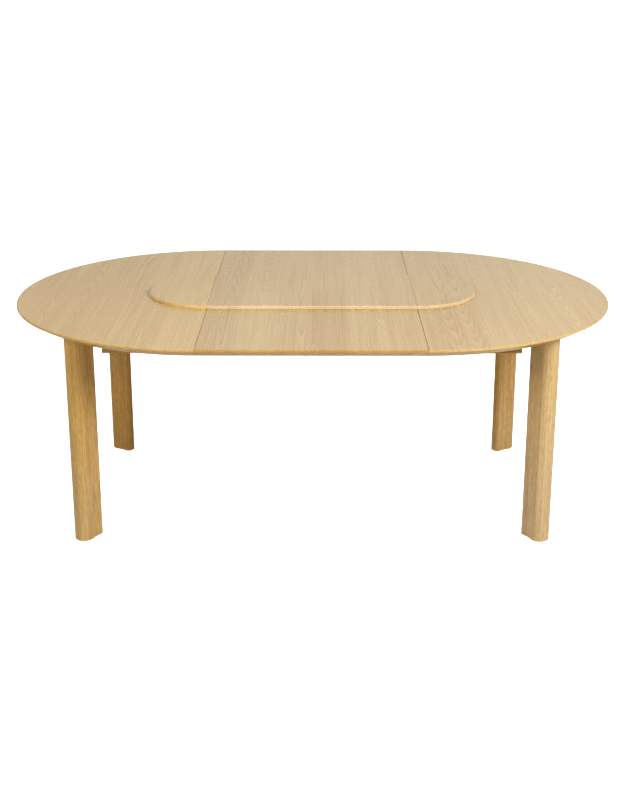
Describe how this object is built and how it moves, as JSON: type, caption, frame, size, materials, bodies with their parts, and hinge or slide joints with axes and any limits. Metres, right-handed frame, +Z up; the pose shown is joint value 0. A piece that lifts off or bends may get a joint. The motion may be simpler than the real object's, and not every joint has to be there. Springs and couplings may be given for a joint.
{
  "type": "extending dining table",
  "caption": "Extending dining table: half-round ends draw apart on geared slides to take a drop-in leaf; raised centre platform, keyhole-section legs.",
  "frame": {"origin": "on the floor, under the middle of the leaf", "axes": "+X along the table's length, +Y across it to the back, +Z up"},
  "size_m": [2.061, 1.35, 0.762],
  "materials": {
    "oak_board": "matt oiled oak",
    "oak_frame": "matt oiled oak",
    "beech": "waxed beech",
    "black_steel": "black powder coat",
    "bright_steel": "zinc plated",
    "latch_steel": "yellow zinc plated",
    "gear_nylon": "natural nylon",
    "glide_nylon": "brown nylon"
  },
  "bodies": {
    "centre_frame": {"back_axle": "bright_steel", "back_carrier": "beech", "carrier_stop_dowels": "beech", "cross_batten_screws": "bright_steel", "front_axle": "bright_steel", "front_carrier": "beech", "left_cross_batten": "beech", "right_cross_batten": "beech"},
    "left_half": {"left_apron_screws": "bright_steel", "left_back_apron": "oak_frame", "left_back_leg": "oak_frame", "left_back_rack": "gear_nylon", "left_back_runner": "beech", "left_cleat": "beech", "left_cleat_screws": "bright_steel", "left_front_apron": "oak_frame", "left_front_leg": "oak_frame", "left_front_rack": "gear_nylon", "left_front_runner": "beech", "left_glides": "glide_nylon", "left_latch_bases": "latch_steel", "left_leg_plates": "black_steel", "left_leg_screws": "bright_steel", "left_plate_bolts": "bright_steel", "left_platform": "oak_board", "left_runner_screws": "bright_steel", "left_top": "oak_board"},
    "right_half": {"right_apron_screws": "bright_steel", "right_back_apron": "oak_frame", "right_back_leg": "oak_frame", "right_back_rack": "gear_nylon", "right_back_runner": "beech", "right_cleat": "beech", "right_cleat_screws": "bright_steel", "right_front_apron": "oak_frame", "right_front_leg": "oak_frame", "right_front_rack": "gear_nylon", "right_front_runner": "beech", "right_glides": "glide_nylon", "right_latch_bases": "latch_steel", "right_leg_plates": "black_steel", "right_leg_screws": "bright_steel", "right_plate_bolts": "bright_steel", "right_platform": "oak_board", "right_runner_screws": "bright_steel", "right_top": "oak_board"},
    "leaf": {"leaf_batten_screws": "bright_steel", "leaf_left_batten": "beech", "leaf_pegs": "beech", "leaf_platform": "oak_board", "leaf_right_batten": "beech", "leaf_strikes": "latch_steel", "leaf_top": "oak_board"},
    "back_pinion": {"back_pinion": "gear_nylon"},
    "front_pinion": {"front_pinion": "gear_nylon"},
    "left_back_latch_hook": {"left_back_latch_hook": "latch_steel"},
    "left_front_latch_hook": {"left_front_latch_hook": "latch_steel"},
    "right_back_latch_hook": {"right_back_latch_hook": "latch_steel"},
    "right_front_latch_hook": {"right_front_latch_hook": "latch_steel"}
  },
  "joints": [
    {"name": "left_slide", "type": "slide", "parent": "centre_frame", "child": "left_half", "axis": [-1, 0, 0], "range_m": [0, 0.04]},
    {"name": "right_slide", "type": "slide", "parent": "centre_frame", "child": "right_half", "axis": [1, 0, 0], "range_m": [0, 0.04]},
    {"name": "front_pinion_turn", "type": "hinge", "parent": "centre_frame", "child": "front_pinion", "pos_m": [0, -0.29535, 0.678], "axis": [0, 0, -1], "range_deg": [0, 127.5]},
    {"name": "back_pinion_turn", "type": "hinge", "parent": "centre_frame", "child": "back_pinion", "pos_m": [0, 0.29535, 0.678], "axis": [0, 0, -1], "range_deg": [0, 127.5]},
    {"name": "leaf_lift", "type": "slide", "parent": "centre_frame", "child": "leaf", "axis": [0, 0, 1], "range_m": [0, 0.15]},
    {"name": "left_front_latch", "type": "hinge", "parent": "left_half", "child": "left_front_latch_hook", "pos_m": [-0.3776, -0.13, 0.7126], "axis": [0, 0, -1], "range_deg": [0, 90]},
    {"name": "left_back_latch", "type": "hinge", "parent": "left_half", "child": "left_back_latch_hook", "pos_m": [-0.3776, 0.13, 0.7126], "axis": [0, 0, 1], "range_deg": [0, 90]},
    {"name": "right_front_latch", "type": "hinge", "parent": "right_half", "child": "right_front_latch_hook", "pos_m": [0.3776, -0.13, 0.7126], "axis": [0, 0, 1], "range_deg": [0, 90]},
    {"name": "right_back_latch", "type": "hinge", "parent": "right_half", "child": "right_back_latch_hook", "pos_m": [0.3776, 0.13, 0.7126], "axis": [0, 0, -1], "range_deg": [0, 90]}
  ],
  "couplings": [
    {"joint": "right_slide", "follows": "left_slide", "ratio": 1},
    {"joint": "front_pinion_turn", "follows": "left_slide", "rad_per_m": 55.556},
    {"joint": "back_pinion_turn", "follows": "left_slide", "rad_per_m": 55.556}
  ]
}
